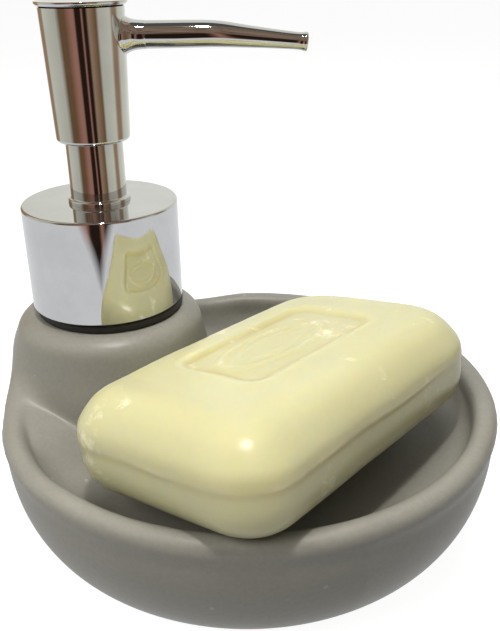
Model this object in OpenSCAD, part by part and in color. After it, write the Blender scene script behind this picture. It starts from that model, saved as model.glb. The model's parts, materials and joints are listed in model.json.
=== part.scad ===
// Soap pump caddy: a round stoneware dish whose hollow body feeds a chromed hand pump.
// Origin at the centre of the foot, on the surface that the dish stands on. +Z up, +X along the spout.

/* [Dish] */
// Outer radius of the dish at its lip
rim_r = 63; // [62:0.5:66]
// Height of the lip above the table
rim_z = 36; // [34:0.5:38]
// Radius of the rounded lip
lip_r = 3; // [2:0.25:3.5]
// How far the outer wall stands in from the lip
lip_proud = 0.7; // [0.2:0.1:1.5]
// Radius of the foot
foot_r = 40; // [38:0.5:44]
// Height of the dish floor at its centre
floor_z = 20; // [18:0.5:20]
// Thickness of the fired clay
clay_t = 4; // [3:0.25:4.5]
// Thickness of the base
base_t = 5; // [4:0.25:6]

/* [Pump neck] */
// Place of the pump axis, left to right
pump_x = -36.9; // [-38:0.1:-36]
// Place of the pump axis, front to back
pump_y = 13.2; // [12:0.1:15]
// Height of the clay neck
neck_z = 53.5; // [52:0.5:58]
// Radius of the flat top of the neck
neck_top_r = 18.7; // [18.5:0.1:19.3]
// Radius of the neck half way down
neck_mid_r = 25.1; // [25:0.1:26]
// Radius of the neck at the height of the lip
neck_foot_r = 27.1; // [27:0.1:28]
// Radius of the round shoulder under the top edge
shoulder_r = 6; // [5:0.25:6.5]
// Bore of the neck
neck_bore_r = 14.5; // [14:0.1:15]
// Length of the narrow bore
neck_bore_l = 14; // [12:0.5:16]
// How far the foot of the neck runs out over the dish floor
flare_r = 44; // [40:0.5:46]
// Height above the lip where that sweep leaves the neck
flare_rise = 0.5; // [0:0.5:2]
// How far that sweep stands behind the pump axis, away from the dish
flare_out = 6; // [4:0.5:8]

/* [Neck fittings] */
// Thickness of the rubber ring between clay and collar
seal_t = 2.2; // [1.5:0.1:3]
// Outer radius of the rubber ring
seal_r = 19.3; // [18.5:0.1:19.5]
// Length of the rubber sleeve and the insert inside the neck
insert_depth = 12; // [10:0.5:13.5]
// Outer radius of the insert
insert_r = 13; // [12.6:0.1:13.2]
// Bore of the insert
insert_bore_r = 10.8; // [9:0.1:11]
// Radius over the thread of the insert
thread_r = 13.5; // [13.3:0.05:13.8]
// Height of a ridge of the thread
ridge_h = 1.6; // [1:0.1:2]
// Radius of the flange of the insert
insert_flange_r = 15.5; // [14.5:0.1:17]
// Thickness of the flange of the insert
insert_flange_t = 1.2; // [0.8:0.1:2]

/* [Collar] */
// Outer radius of the chromed collar
collar_r = 19.5; // [19:0.1:21]
// Height of the chromed collar
collar_h = 26.2; // [24:0.2:32]
// Thickness of the chromed metal
shell_t = 0.8; // [0.5:0.1:1]
// Radius of the collar's top edge
collar_edge = 0.6; // [0.3:0.1:1]
// Thickness of the inner cap over the pump flanges
core_top_t = 2.8; // [2:0.1:4]
// Radius of the boss round the neck sleeve
boss_r = 7.7; // [7.4:0.1:8.2]
// Height of the boss
boss_h = 1.2; // [0.8:0.1:2]
// Outer radius of the neck sleeve
sleeve_r = 6.95; // [6.8:0.05:7.05]
// Wall of the neck sleeve
sleeve_t = 0.7; // [0.5:0.05:0.75]
// Radius of the flange that holds the sleeve
sleeve_flange_r = 11; // [9:0.1:13]
// Thickness of that flange
sleeve_flange_t = 0.8; // [0.6:0.1:1.2]
// Distance from one ridge of the thread to the next, the collar's rise in one turn
thread_pitch = 4.2; // [3:0.1:5]

/* [Head] */
// Gap from the collar to the raised head
head_gap = 15.2; // [12:0.1:16]
// Height of the tapered head shell
head_h = 30.4; // [30:0.5:36]
// Outer radius of the head at its bottom
head_bottom_r = 8.9; // [8.7:0.05:9.4]
// Outer radius of the head at its top
head_top_r = 9.9; // [9.6:0.05:10.4]
// Rounding of the head's bottom edge
head_edge = 0.9; // [0.4:0.1:1.2]
// Bore of the head round the neck sleeve
head_bore_r = 7.5; // [7.35:0.05:7.6]
// Wall of the upper head shell
head_wall = 1.1; // [0.8:0.1:1.2]
// How far the sleeve reaches into the raised head
sleeve_over = 3.5; // [2:0.25:5]
// Radius of the flared cap
cap_r = 10.7; // [10.4:0.1:12]
// Height of the cap
cap_h = 1.4; // [1.2:0.1:2.4]
// Depth of the hollow in the cap
cap_dish = 0.6; // [0.4:0.1:1.2]
// Travel of the head
stroke = 11; // [9:0.25:11]

/* [Spout] */
// Distance of the spout's axis below the top of the head shell
spout_drop = 6.4; // [5:0.1:7]
// Radius of the spout up to its bend
spout_r = 3.05; // [2.8:0.05:3.3]
// Radius of the spout at its tip
spout_tip_r = 1.9; // [1.8:0.05:2.4]
// Distance of the bend from the pump axis
spout_bend_x = 32; // [26:0.5:36]
// Distance of the tip from the pump axis
spout_tip_x = 52; // [46:0.5:58]
// How far the tip hangs below the straight run
spout_fall = 2.2; // [1:0.1:4]
// Wall of the chromed spout
spout_t = 0.45; // [0.4:0.05:0.6]
// Bore of the spout liner at its tip
liner_tip_bore = 0.8; // [0.6:0.05:0.9]
// Wall of the spout liner
liner_t = 0.6; // [0.5:0.05:0.65]
// Height of the small lip round the tip
tip_lip = 0.35; // [0.2:0.05:0.5]
// Width of the small lip
tip_lip_w = 0.8; // [0.5:0.1:1.2]
// Radius of the ferrule where the spout leaves the head
ferrule_r = 3.6; // [3.4:0.05:4]
// Reach of the ferrule from the pump axis
ferrule_x = 12.8; // [12:0.1:14]

/* [Pump inside] */
// Outer radius of the pump barrel
barrel_r = 8; // [7.8:0.05:8.6]
// Bore of the pump barrel
barrel_bore_r = 6.9; // [6.7:0.05:7]
// Length of the barrel from its flange to its floor
barrel_l = 48; // [44:0.5:50]
// Thickness of the barrel floor
barrel_floor_t = 2; // [1.5:0.1:3]
// Radius of the barrel's flange
barrel_flange_r = 12.4; // [11.5:0.1:13]
// Thickness of the barrel's flange
barrel_flange_t = 1.5; // [1:0.1:2.5]
// Thickness of the flat gasket
gasket_t = 1; // [0.8:0.1:1.5]
// Thickness of the chaplet's flange
chaplet_t = 1.2; // [1:0.1:2]
// Depth of the chaplet inside the barrel
chaplet_plug_l = 5; // [4:0.25:6]
// Outer radius of the stem
stem_r = 4; // [3.8:0.05:4.2]
// Bore of the stem
stem_bore_r = 1.7; // [1.4:0.05:1.9]
// Depth of the stem in the head
stem_socket_l = 6; // [6:0.25:9]
// Height of the piston seal
piston_h = 7; // [6:0.25:9]
// Radius of the valve balls
ball_r = 1.6; // [1.5:0.05:1.7]
// Radius of the seats under the balls
seat_r = 1.1; // [0.9:0.05:1.2]
// Room round a ball
ball_room = 0.5; // [0.4:0.05:0.6]
// Thickness of a valve seat
seat_t = 1.5; // [1:0.1:2.5]
// How far a valve ball lifts
ball_lift = 1; // [0.6:0.1:1.2]
// Outer radius of the dip tube
dip_r = 2.5; // [2.3:0.05:2.8]
// Bore of the dip tube
dip_bore_r = 1.7; // [1.4:0.05:1.9]
// Depth of the dip tube in its socket
dip_socket_l = 7; // [5:0.25:9]
// Wall of the dip tube's socket
dip_socket_t = 1.5; // [1:0.1:2]
// Gap under the dip tube
dip_foot_gap = 1.5; // [1:0.1:3]

/* [Return spring] */
// Radius of the coil at the middle of its wire
coil_r = 5.5; // [5.2:0.05:5.7]
// Radius of the spring wire
wire_r = 0.5; // [0.4:0.05:0.6]
// Turns of the coil
coil_turns = 9; // [7:1:11]

/* [Soap bar] */
// Length of the bar
soap_l = 91.5; // [84:0.5:91.5]
// Width of the bar
soap_w = 57.5; // [54:0.5:57.5]
// Thickness of the bar
soap_h = 24.5; // [22:0.5:25]
// Radius of the bar's corners in plan
soap_corner_r = 13.5; // [12.5:0.5:18]
// Radius of the bar's edges
soap_edge_r = 10; // [8:0.25:10.5]
// Place of the bar's centre, left to right
soap_x = 9; // [8.5:0.25:9.5]
// Place of the bar's centre, front to back
soap_y = -17.75; // [-18.25:0.25:-17.5]
// Height of the bar's centre
soap_z = 44; // [44:0.25:48]
// Turn of the bar seen from above
soap_turn = 50; // [49:0.5:51]
// Rise of the bar towards its far end, in degrees
soap_rise = -2.5; // [-3.5:0.5:-2]
// Lean of the bar about its length, in degrees
soap_lean = -8.5; // [-9.5:0.5:-8]
// Depth of the panel pressed into the top
panel_depth = 0.8; // [0.4:0.1:1.5]
// Margin round the pressed panel
panel_margin = 14; // [12:0.5:16]

/* [Fits] */
// Gap between pieces that are fitted together
fit_gap = 0.05; // [0.02:0.01:0.08]
// Running gap of the stem and the piston
run_gap = 0.06; // [0.02:0.01:0.09]
// Gap between pieces that pass each other
free_gap = 0.3; // [0.2:0.05:0.4]

/* [Hidden] */
$fn = 96;
over = 1;
wall_steps = 14;
dish_steps = 16;
arc_steps = 10;
wall_power_share = 0.92;
dish_power_share = 0.72;

wall_r = rim_r - lip_proud;
wall_top_z = rim_z - 2 * lip_r;
dish_r = rim_r - 2 * lip_r;
dish_top_z = rim_z - lip_r;
pump_reach = norm([pump_x, pump_y]);
neck_out = neck_foot_r + pump_reach - wall_r;

seal_top_z = neck_z + seal_t;
collar_z = seal_top_z + free_gap;
collar_top_z = collar_z + collar_h;
core_top_z = collar_top_z - shell_t - sleeve_flange_t;
shelf_z = core_top_z - core_top_t;
chaplet_top_z = shelf_z - fit_gap;
barrel_top_z = chaplet_top_z - chaplet_t;
gasket_z = barrel_top_z - barrel_flange_t - gasket_t;
core_z = seal_top_z + insert_flange_t + free_gap;
core_r = collar_r - shell_t - fit_gap;

head_z = collar_top_z + head_gap;
head_top_z = head_z + head_h;
sleeve_top_z = head_z + sleeve_over;
head_core_z = sleeve_top_z + stroke + free_gap;
stem_top_z = head_core_z + stem_socket_l;
head_cavity_r = head_bottom_r - head_wall + fit_gap;
head_core_r = head_cavity_r - fit_gap;
spout_z = head_top_z - spout_drop;
fall_angle = atan(spout_fall / (spout_tip_x - spout_bend_x));
ring_t = 0.02;

barrel_floor_z = barrel_top_z - barrel_l;
chaplet_plug_z = barrel_top_z - chaplet_plug_l;
piston_top_z = chaplet_plug_z - free_gap;
piston_z = piston_top_z - piston_h;
chamber_l = 2 * ball_r + ball_lift + ball_room;
inlet_seat_z = barrel_floor_z - chamber_l;
dip_top_z = inlet_seat_z - seat_t;
dip_socket_z = dip_top_z - dip_socket_l;
dip_z = base_t + dip_foot_gap;
outlet_seat_z = piston_z + 2 * seat_t;
ball_rest = sqrt(ball_r * ball_r - seat_r * seat_r) + fit_gap;
guide_r = sleeve_r - sleeve_t - fit_gap;
spring_z = barrel_floor_z + wire_r;
spring_top_z = piston_z - wire_r;
coil_pitch = (spring_top_z - spring_z) / coil_turns;

echo("least gap of the spring to itself", coil_pitch - 2 * wire_r);

// Points of an arc in a profile, from one angle to another
function arc(c, r, a0, a1) =
    [for (i = [0 : arc_steps]) let (a = a0 + (a1 - a0) * i / arc_steps) [c.x + r * cos(a), c.y + r * sin(a)]];

// The outer wall rises from the foot to the lip in one full curve; shift moves it along the radius
function wall_point(a, shift) =
    [foot_r + (wall_r - foot_r) * pow(sin(a), wall_power_share) + shift,
     wall_top_z * (1 - pow(cos(a), wall_power_share))];
function wall_curve(shift) = [for (i = [0 : wall_steps]) wall_point(90 * i / wall_steps, shift)];

// The dish falls steeply from the lip and flattens into its floor; drop lowers it
function dish_curve(drop, first) =
    [for (i = [first : dish_steps]) let (a = 90 * i / dish_steps)
        [dish_r * pow(cos(a), dish_power_share),
         dish_top_z - (dish_top_z - floor_z) * pow(sin(a), dish_power_share) - drop]];

module at_pump() { translate([pump_x, pump_y, 0]) children(); }

module tube(r, bore, z0, z1) {
    translate([0, 0, z0]) difference() {
        cylinder(r = r, h = z1 - z0);
        translate([0, 0, -over]) cylinder(r = bore, h = z1 - z0 + 2 * over);
    }
}

module bowl_form() {
    rotate_extrude() polygon(concat(
        [[0, 0]],
        wall_curve(0),
        arc([rim_r - lip_r, rim_z - lip_r], lip_r, -30, 180),
        dish_curve(0, 1)));
}

// The bowl without its hollow, which trims the flare of the neck
module bowl_block() {
    rotate_extrude() polygon(concat([[0, base_t]],
        [for (p = wall_curve(-clay_t / 2)) if (p.y > base_t) p],
        arc([rim_r - lip_r, rim_z - lip_r], lip_r, 0, 90), [[0, rim_z + flare_rise]]));
}

module neck_form() {
    rotate_extrude() polygon(concat(
        [[0, 0]],
        [for (p = wall_curve(neck_out - pump_reach)) [max(p.x, lip_r), p.y]],
        [[neck_foot_r, rim_z], [neck_mid_r, (rim_z + neck_z) / 2]],
        arc([neck_top_r, neck_z - shoulder_r], shoulder_r, 25, 90),
        [[0, neck_z]]));
}

// The hollow sweep from the neck down to the dish floor
module neck_flare() {
    top_z = rim_z + flare_rise;
    rotate_extrude() polygon([[0, floor_z], [flare_r, floor_z],
        for (i = [0 : arc_steps]) let (a = 90 * i / arc_steps)
            [flare_r - (flare_r - neck_foot_r) * sin(a), top_z - (top_z - floor_z) * cos(a)],
        [0, top_z]]);
}

module bowl_hollow() {
    rotate_extrude() polygon(concat([[0, base_t]],
        [for (p = wall_curve(-clay_t)) if (p.y > base_t && p.y < floor_z - clay_t) p],
        [for (p = dish_curve(clay_t, 0)) if (p.x < dish_r - clay_t) p]));
}

module neck_hollow() {
    rotate_extrude() polygon(concat([[0, base_t]],
        [for (p = wall_curve(neck_out - pump_reach - clay_t)) if (p.y > base_t) p],
        [[neck_foot_r - clay_t, rim_z],
         [neck_bore_r, neck_z - neck_bore_l],
         [0, neck_z - neck_bore_l]]));
}

module vessel() {
    color("#8f8a82") difference() {
        union() {
            bowl_form();
            intersection() {
                bowl_block();
                translate([pump_x, pump_y, 0] * (1 + flare_out / pump_reach)) neck_flare();
            }
            at_pump() neck_form();
        }
        bowl_hollow();
        at_pump() neck_hollow();
        at_pump() translate([0, 0, neck_z - neck_bore_l - over])
            cylinder(r = neck_bore_r, h = neck_bore_l + 2 * over);
    }
}

module neck_seal() {
    color("#17181a") at_pump() tube(seal_r, insert_r + fit_gap, neck_z, seal_top_z);
}

module seal_sleeve() {
    color("#202123") at_pump()
        tube(neck_bore_r - fit_gap, insert_r + fit_gap, neck_z - insert_depth, neck_z - fit_gap);
}

module neck_insert() {
    color("#e6e6e2") at_pump() {
        tube(insert_r, insert_bore_r, neck_z - insert_depth, gasket_z);
        tube(insert_flange_r, insert_bore_r, seal_top_z, seal_top_z + insert_flange_t);
        for (z = [core_z + insert_flange_t : thread_pitch : gasket_z - 2 * ridge_h])
            tube(thread_r, insert_bore_r, z, z + ridge_h);
    }
}

module collar_shell() {
    color("#d9dadc") at_pump() difference() {
        translate([0, 0, collar_z]) rotate_extrude() polygon(concat(
            [[0, 0], [collar_r, 0]],
            arc([collar_r - collar_edge, collar_h - collar_edge], collar_edge, 0, 90),
            [[0, collar_h]]));
        translate([0, 0, collar_z - over]) cylinder(r = collar_r - shell_t, h = collar_h - shell_t + over);
        translate([0, 0, collar_z]) cylinder(r = boss_r + fit_gap, h = collar_h + over);
    }
}

module collar_core() {
    color("#c9c9c4") at_pump() {
        tube(core_r, thread_r + free_gap, core_z, shelf_z);
        tube(core_r, sleeve_r + fit_gap, shelf_z, core_top_z);
    }
}

module neck_sleeve() {
    color("#d9dadc") at_pump() {
        tube(sleeve_r, sleeve_r - sleeve_t, shelf_z + fit_gap, sleeve_top_z);
        tube(sleeve_flange_r, sleeve_r - sleeve_t, core_top_z, core_top_z + sleeve_flange_t);
        tube(boss_r, sleeve_r - sleeve_t, core_top_z, collar_top_z + boss_h);
    }
}

module housing_gasket() {
    color("#2c2c2e") at_pump() tube(barrel_flange_r, barrel_r + fit_gap, gasket_z, gasket_z + gasket_t);
}

module pump_housing() {
    color("#e9e9e6") at_pump() difference() {
        union() {
            translate([0, 0, gasket_z + gasket_t]) cylinder(r = barrel_flange_r, h = barrel_flange_t);
            translate([0, 0, barrel_floor_z - barrel_floor_t])
                cylinder(r = barrel_r, h = barrel_l + barrel_floor_t);
            translate([0, 0, dip_socket_z])
                cylinder(r = dip_r + dip_socket_t, h = barrel_floor_z - dip_socket_z);
        }
        translate([0, 0, barrel_floor_z]) cylinder(r = barrel_bore_r, h = barrel_l + over);
        translate([0, 0, inlet_seat_z]) cylinder(r = ball_r + ball_room, h = chamber_l + over);
        translate([0, 0, dip_top_z - over]) cylinder(r = seat_r, h = seat_t + 2 * over);
        translate([0, 0, dip_socket_z - over]) cylinder(r = dip_r + fit_gap, h = dip_socket_l + over);
    }
}

module chaplet() {
    color("#dededa") at_pump() {
        tube(barrel_flange_r, stem_r + run_gap, barrel_top_z, chaplet_top_z);
        tube(barrel_bore_r - fit_gap, stem_r + run_gap, chaplet_plug_z, barrel_top_z + fit_gap);
        tube(guide_r, stem_r + run_gap, chaplet_top_z - fit_gap, sleeve_top_z);
    }
}

// One unbroken wire, swept along the helix with its rings square to the wire
module return_spring() {
    rings_per_turn = 8;
    sides = 6;
    rings = coil_turns * rings_per_turn;
    climb = coil_pitch / (2 * PI * coil_r);
    points = [for (i = [0 : rings]) let (a = 360 * i / rings_per_turn)
        for (k = [0 : sides - 1]) let (b = 360 * k / sides, n = sqrt(1 + climb * climb))
            [(coil_r + wire_r * cos(b)) * cos(a) + wire_r * sin(b) * climb / n * sin(a),
             (coil_r + wire_r * cos(b)) * sin(a) - wire_r * sin(b) * climb / n * cos(a),
             coil_pitch * i / rings_per_turn + wire_r * sin(b) / n]];
    function at(i, k) = i * sides + k % sides;
    sides_faces = [for (i = [0 : rings - 1], k = [0 : sides - 1]) each
        [[at(i, k), at(i + 1, k), at(i + 1, k + 1)], [at(i, k), at(i + 1, k + 1), at(i, k + 1)]]];
    ends = [for (k = [1 : sides - 2]) each
        [[at(0, 0), at(0, k), at(0, k + 1)], [at(rings, 0), at(rings, k + 1), at(rings, k)]]];
    color("#b8babd") at_pump() translate([0, 0, spring_z]) polyhedron(points, concat(sides_faces, ends));
}

module piston_seal() {
    color("#f0efe9") at_pump() difference() {
        translate([0, 0, piston_z]) cylinder(r = barrel_bore_r - run_gap, h = piston_h);
        translate([0, 0, piston_z + seat_t]) cylinder(r = stem_r + fit_gap, h = piston_h);
        translate([0, 0, piston_z - over]) cylinder(r = seat_r, h = piston_h);
    }
}

module piston_stem() {
    color("#e4e4df") at_pump() difference() {
        translate([0, 0, piston_z + seat_t]) cylinder(r = stem_r, h = stem_top_z - piston_z - seat_t);
        translate([0, 0, piston_z]) cylinder(r = seat_r, h = piston_h);
        translate([0, 0, outlet_seat_z]) cylinder(r = ball_r + ball_room, h = chamber_l);
        translate([0, 0, outlet_seat_z]) cylinder(r = stem_bore_r, h = stem_top_z - outlet_seat_z + over);
    }
}

module inlet_ball() {
    color("#c4c7ca") at_pump() translate([0, 0, inlet_seat_z + ball_rest]) sphere(r = ball_r);
}

module outlet_ball() {
    color("#c4c7ca") at_pump() translate([0, 0, outlet_seat_z + ball_rest]) sphere(r = ball_r);
}

module dip_tube() {
    color("#f2f2ee") at_pump() tube(dip_r, dip_bore_r, dip_z, dip_top_z);
}

module spout_ring(x, z, tilt, r) {
    translate([x, 0, z]) rotate([0, 90 + tilt, 0]) cylinder(r = r, h = ring_t, $fn = 32);
}

// The run of the spout: straight to the bend, then tapering and falling to the tip
module spout_run(r, tip_r, x0, run_on) {
    hull() {
        spout_ring(x0, spout_z, 0, r);
        spout_ring(spout_bend_x, spout_z, fall_angle / 2, r);
    }
    hull() {
        spout_ring(spout_bend_x, spout_z, fall_angle / 2, r);
        spout_ring(spout_tip_x + run_on, spout_z - spout_fall, fall_angle, tip_r);
    }
}

module head_shell() {
    color("#d9dadc") at_pump() difference() {
        union() {
            translate([0, 0, head_z]) rotate_extrude() polygon(concat(
                [[0, 0]],
                arc([head_bottom_r - head_edge, head_edge], head_edge, -90, 0),
                [[head_top_r, head_h], [0, head_h]]));
            translate([0, 0, spout_z]) rotate([0, 90, 0]) cylinder(r = ferrule_r, h = ferrule_x);
        }
        translate([0, 0, head_z - over]) cylinder(r = head_bore_r, h = head_core_z - head_z + over);
        translate([0, 0, head_core_z - fit_gap]) cylinder(r = head_cavity_r, h = head_h);
        translate([0, 0, spout_z]) rotate([0, 90, 0]) cylinder(r = spout_r + fit_gap, h = ferrule_x + over);
    }
}

module head_core() {
    color("#d2d2cd") at_pump() difference() {
        translate([0, 0, head_core_z]) cylinder(r = head_core_r, h = head_top_z - head_core_z);
        translate([0, 0, head_core_z - over]) cylinder(r = stem_r + run_gap, h = stem_socket_l + free_gap + over);
        translate([0, 0, head_core_z]) cylinder(r = stem_bore_r, h = spout_z - head_core_z);
        translate([stem_r, 0, spout_z]) rotate([0, 90, 0]) cylinder(r = spout_r + fit_gap, h = head_top_r);
        translate([0, 0, spout_z]) rotate([0, 90, 0]) cylinder(r = stem_bore_r, h = head_top_r);
    }
}

module head_cap() {
    color("#cfd0d2") at_pump() translate([0, 0, head_top_z]) rotate_extrude() polygon(concat(
        [[0, 0], [head_top_r - head_edge, 0], [head_top_r, cap_h / 4]],
        arc([cap_r - cap_h / 4, cap_h * 3 / 4], cap_h / 4, -60, 110),
        [[head_top_r - head_edge, cap_h - cap_dish / 2], [head_top_r / 2, cap_h - cap_dish],
         [0, cap_h - cap_dish]]));
}

module spout_tube() {
    color("#d9dadc") at_pump() difference() {
        union() {
            spout_run(spout_r, spout_tip_r, stem_r + fit_gap, 0);
            translate([spout_tip_x - tip_lip_w, 0, spout_z - spout_fall]) rotate([0, 90 + fall_angle, 0])
                cylinder(r = spout_tip_r + tip_lip, h = tip_lip_w);
        }
        spout_run(spout_r - spout_t, spout_tip_r - spout_t, 0, over);
    }
}

module spout_liner() {
    color("#eceae4") at_pump() difference() {
        spout_run(spout_r - spout_t - fit_gap, spout_tip_r - spout_t - fit_gap, stem_r + fit_gap, 0);
        spout_run(spout_r - spout_t - liner_t, liner_tip_bore, 0, over);
    }
}

module soap_block(l, w, h, corner, edge) {
    hull() for (x = [-1, 1], y = [-1, 1], z = [edge, h - edge])
        translate([x * (l / 2 - corner), y * (w / 2 - corner), z])
            rotate_extrude($fn = 32) translate([corner - edge, 0])
                intersection() {
                    circle(r = edge, $fn = 24);
                    translate([0, -edge]) square([edge, 2 * edge]);
                }
}

module soap_bar() {
    color("#ead9a0") translate([soap_x, soap_y, soap_z]) rotate([0, 0, soap_turn]) rotate([0, -soap_rise, 0])
        rotate([soap_lean, 0, 0]) translate([0, 0, -soap_h / 2]) difference() {
            soap_block(soap_l, soap_w, soap_h, soap_corner_r, soap_edge_r);
            translate([0, 0, soap_h - panel_depth]) linear_extrude(height = panel_depth + over)
                square([soap_l - 2 * panel_margin, soap_w - 2 * panel_margin], center = true);
        }
}

vessel();
neck_seal();
seal_sleeve();
neck_insert();
collar_shell();
collar_core();
neck_sleeve();
housing_gasket();
pump_housing();
chaplet();
return_spring();
piston_seal();
piston_stem();
inlet_ball();
outlet_ball();
dip_tube();
head_shell();
head_core();
head_cap();
spout_tube();
spout_liner();
soap_bar();
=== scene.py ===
import json
import math

import bmesh
import bpy
from mathutils import Matrix, Vector, noise
from mathutils.bvhtree import BVHTree


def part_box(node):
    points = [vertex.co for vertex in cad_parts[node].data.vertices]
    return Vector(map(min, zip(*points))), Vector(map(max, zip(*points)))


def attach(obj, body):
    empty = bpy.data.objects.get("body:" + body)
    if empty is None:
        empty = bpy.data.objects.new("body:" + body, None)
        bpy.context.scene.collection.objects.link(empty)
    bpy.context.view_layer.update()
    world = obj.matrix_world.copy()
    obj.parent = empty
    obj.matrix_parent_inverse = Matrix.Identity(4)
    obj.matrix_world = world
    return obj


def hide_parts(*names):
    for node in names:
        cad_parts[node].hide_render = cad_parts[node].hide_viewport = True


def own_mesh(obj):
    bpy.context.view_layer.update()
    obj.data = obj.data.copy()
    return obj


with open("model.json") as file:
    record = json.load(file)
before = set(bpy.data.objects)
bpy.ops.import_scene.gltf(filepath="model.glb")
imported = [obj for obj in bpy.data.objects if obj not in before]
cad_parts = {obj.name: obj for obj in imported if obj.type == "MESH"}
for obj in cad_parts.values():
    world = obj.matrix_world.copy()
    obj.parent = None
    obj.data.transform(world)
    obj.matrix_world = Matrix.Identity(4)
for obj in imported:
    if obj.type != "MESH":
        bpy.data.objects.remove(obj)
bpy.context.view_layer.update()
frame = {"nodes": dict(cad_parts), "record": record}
nodes = frame["nodes"]

MM = 0.001


def corners(node):
    """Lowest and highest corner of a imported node, in millimetres"""
    return [[round(value / MM, 2) for value in corner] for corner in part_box(node)]


def middle(node):
    """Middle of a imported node, in millimetres"""
    return Vector([(a + b) / 2 for a, b in zip(*corners(node))])


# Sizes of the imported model, in millimetres. The rounded rim and the dish aren't in any node's box
RIM_R, RIM_Z, LIP_R = 63, 36, 3
FOOT_R, FLOOR_Z = 40, 20
NECK_Z = corners("vessel")[1][2]
PUMP = Vector((middle("head_core").x, middle("head_core").y, 0))
COLLAR_R = round(corners("collar_shell")[1][0] - PUMP.x, 2)
COLLAR_Z, COLLAR_TOP = (corner[2] for corner in corners("collar_shell"))
SLEEVE_TOP = corners("neck_sleeve")[1][2]
HEAD_Z, HEAD_TOP = (corner[2] for corner in corners("head_shell"))
SPOUT_Z = corners("spout_tube")[1][2] - (corners("spout_tube")[1][1] - corners("spout_tube")[0][1]) / 2
SOAP = middle("soap_bar")


# Camera
PICTURE_HEIGHT, FOCAL_PIXELS, SENSOR = 631, 789, 36
CAMERA_PLACE = Vector((0.6, -180.4, 138.3))
CAMERA_PITCH, CAMERA_ROLL = 0.431, -0.016


def make_camera():
    """The photograph's camera, solved from the rims and the collar of the object"""
    forward = Vector((0, math.cos(CAMERA_PITCH), -math.sin(CAMERA_PITCH)))
    up = Vector((0, math.sin(CAMERA_PITCH), math.cos(CAMERA_PITCH)))
    side = Vector((1, 0, 0))
    right = side * math.cos(CAMERA_ROLL) + up * math.sin(CAMERA_ROLL)
    top = up * math.cos(CAMERA_ROLL) - side * math.sin(CAMERA_ROLL)
    turn = Matrix((right, top, -forward)).transposed().to_4x4()
    lens = bpy.data.cameras.new("photo_camera")
    lens.sensor_width = SENSOR
    lens.lens = FOCAL_PIXELS / PICTURE_HEIGHT * SENSOR
    lens.clip_start, lens.clip_end = 0.01, 20
    camera = bpy.data.objects.new("photo_camera", lens)
    camera.matrix_world = Matrix.Translation(CAMERA_PLACE * MM) @ turn
    bpy.context.scene.collection.objects.link(camera)
    bpy.context.scene.camera = camera


make_camera()


# Materials
def colour(hexa):
    """sRGB hex to linear RGBA"""
    rgb = [int(hexa[i:i + 2], 16) / 255 for i in (1, 3, 5)]
    return [c / 12.92 if c <= 0.04045 else ((c + 0.055) / 1.055) ** 2.4 for c in rgb] + [1]


def add(tree, kind, settings=None, stops=(), **links):
    """One node with its settings, the stops of a colour ramp and its links. An output socket is linked and
    anything else is a value. n0, n1 and so on are input sockets by number, for those that share a name"""
    made = tree.nodes.new(kind)
    for name, value in (settings or {}).items():
        setattr(made, name, value)
    if stops:
        band = made.color_ramp.elements
        while len(band) < len(stops):
            band.new(0.5)
        for element, (where, shade) in zip(band, stops):
            element.position = where
            element.color = colour(shade)
    for name, value in links.items():
        key = name.replace("_", " ")
        socket = made.inputs[int(key[1:])] if key[0] == "n" and key[1:].isdigit() else made.inputs[key]
        if isinstance(value, bpy.types.NodeSocket):
            tree.links.new(value, socket)
        else:
            socket.default_value = value
    return made


def new_material(name, **shader):
    """A material with values on its shader's sockets, and the object coordinates for its patterns"""
    mat = bpy.data.materials.new(name)
    mat.use_nodes = True
    tree = mat.node_tree
    bsdf = tree.nodes["Principled BSDF"]
    for key, value in shader.items():
        bsdf.inputs[key.replace("_", " ")].default_value = value
    place = add(tree, "ShaderNodeTexCoord").outputs["Object"]
    return mat, tree, bsdf, place


def per_mm(length):
    """Noise scale that gives features of a length in millimetres"""
    return 1 / MM / length


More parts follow.
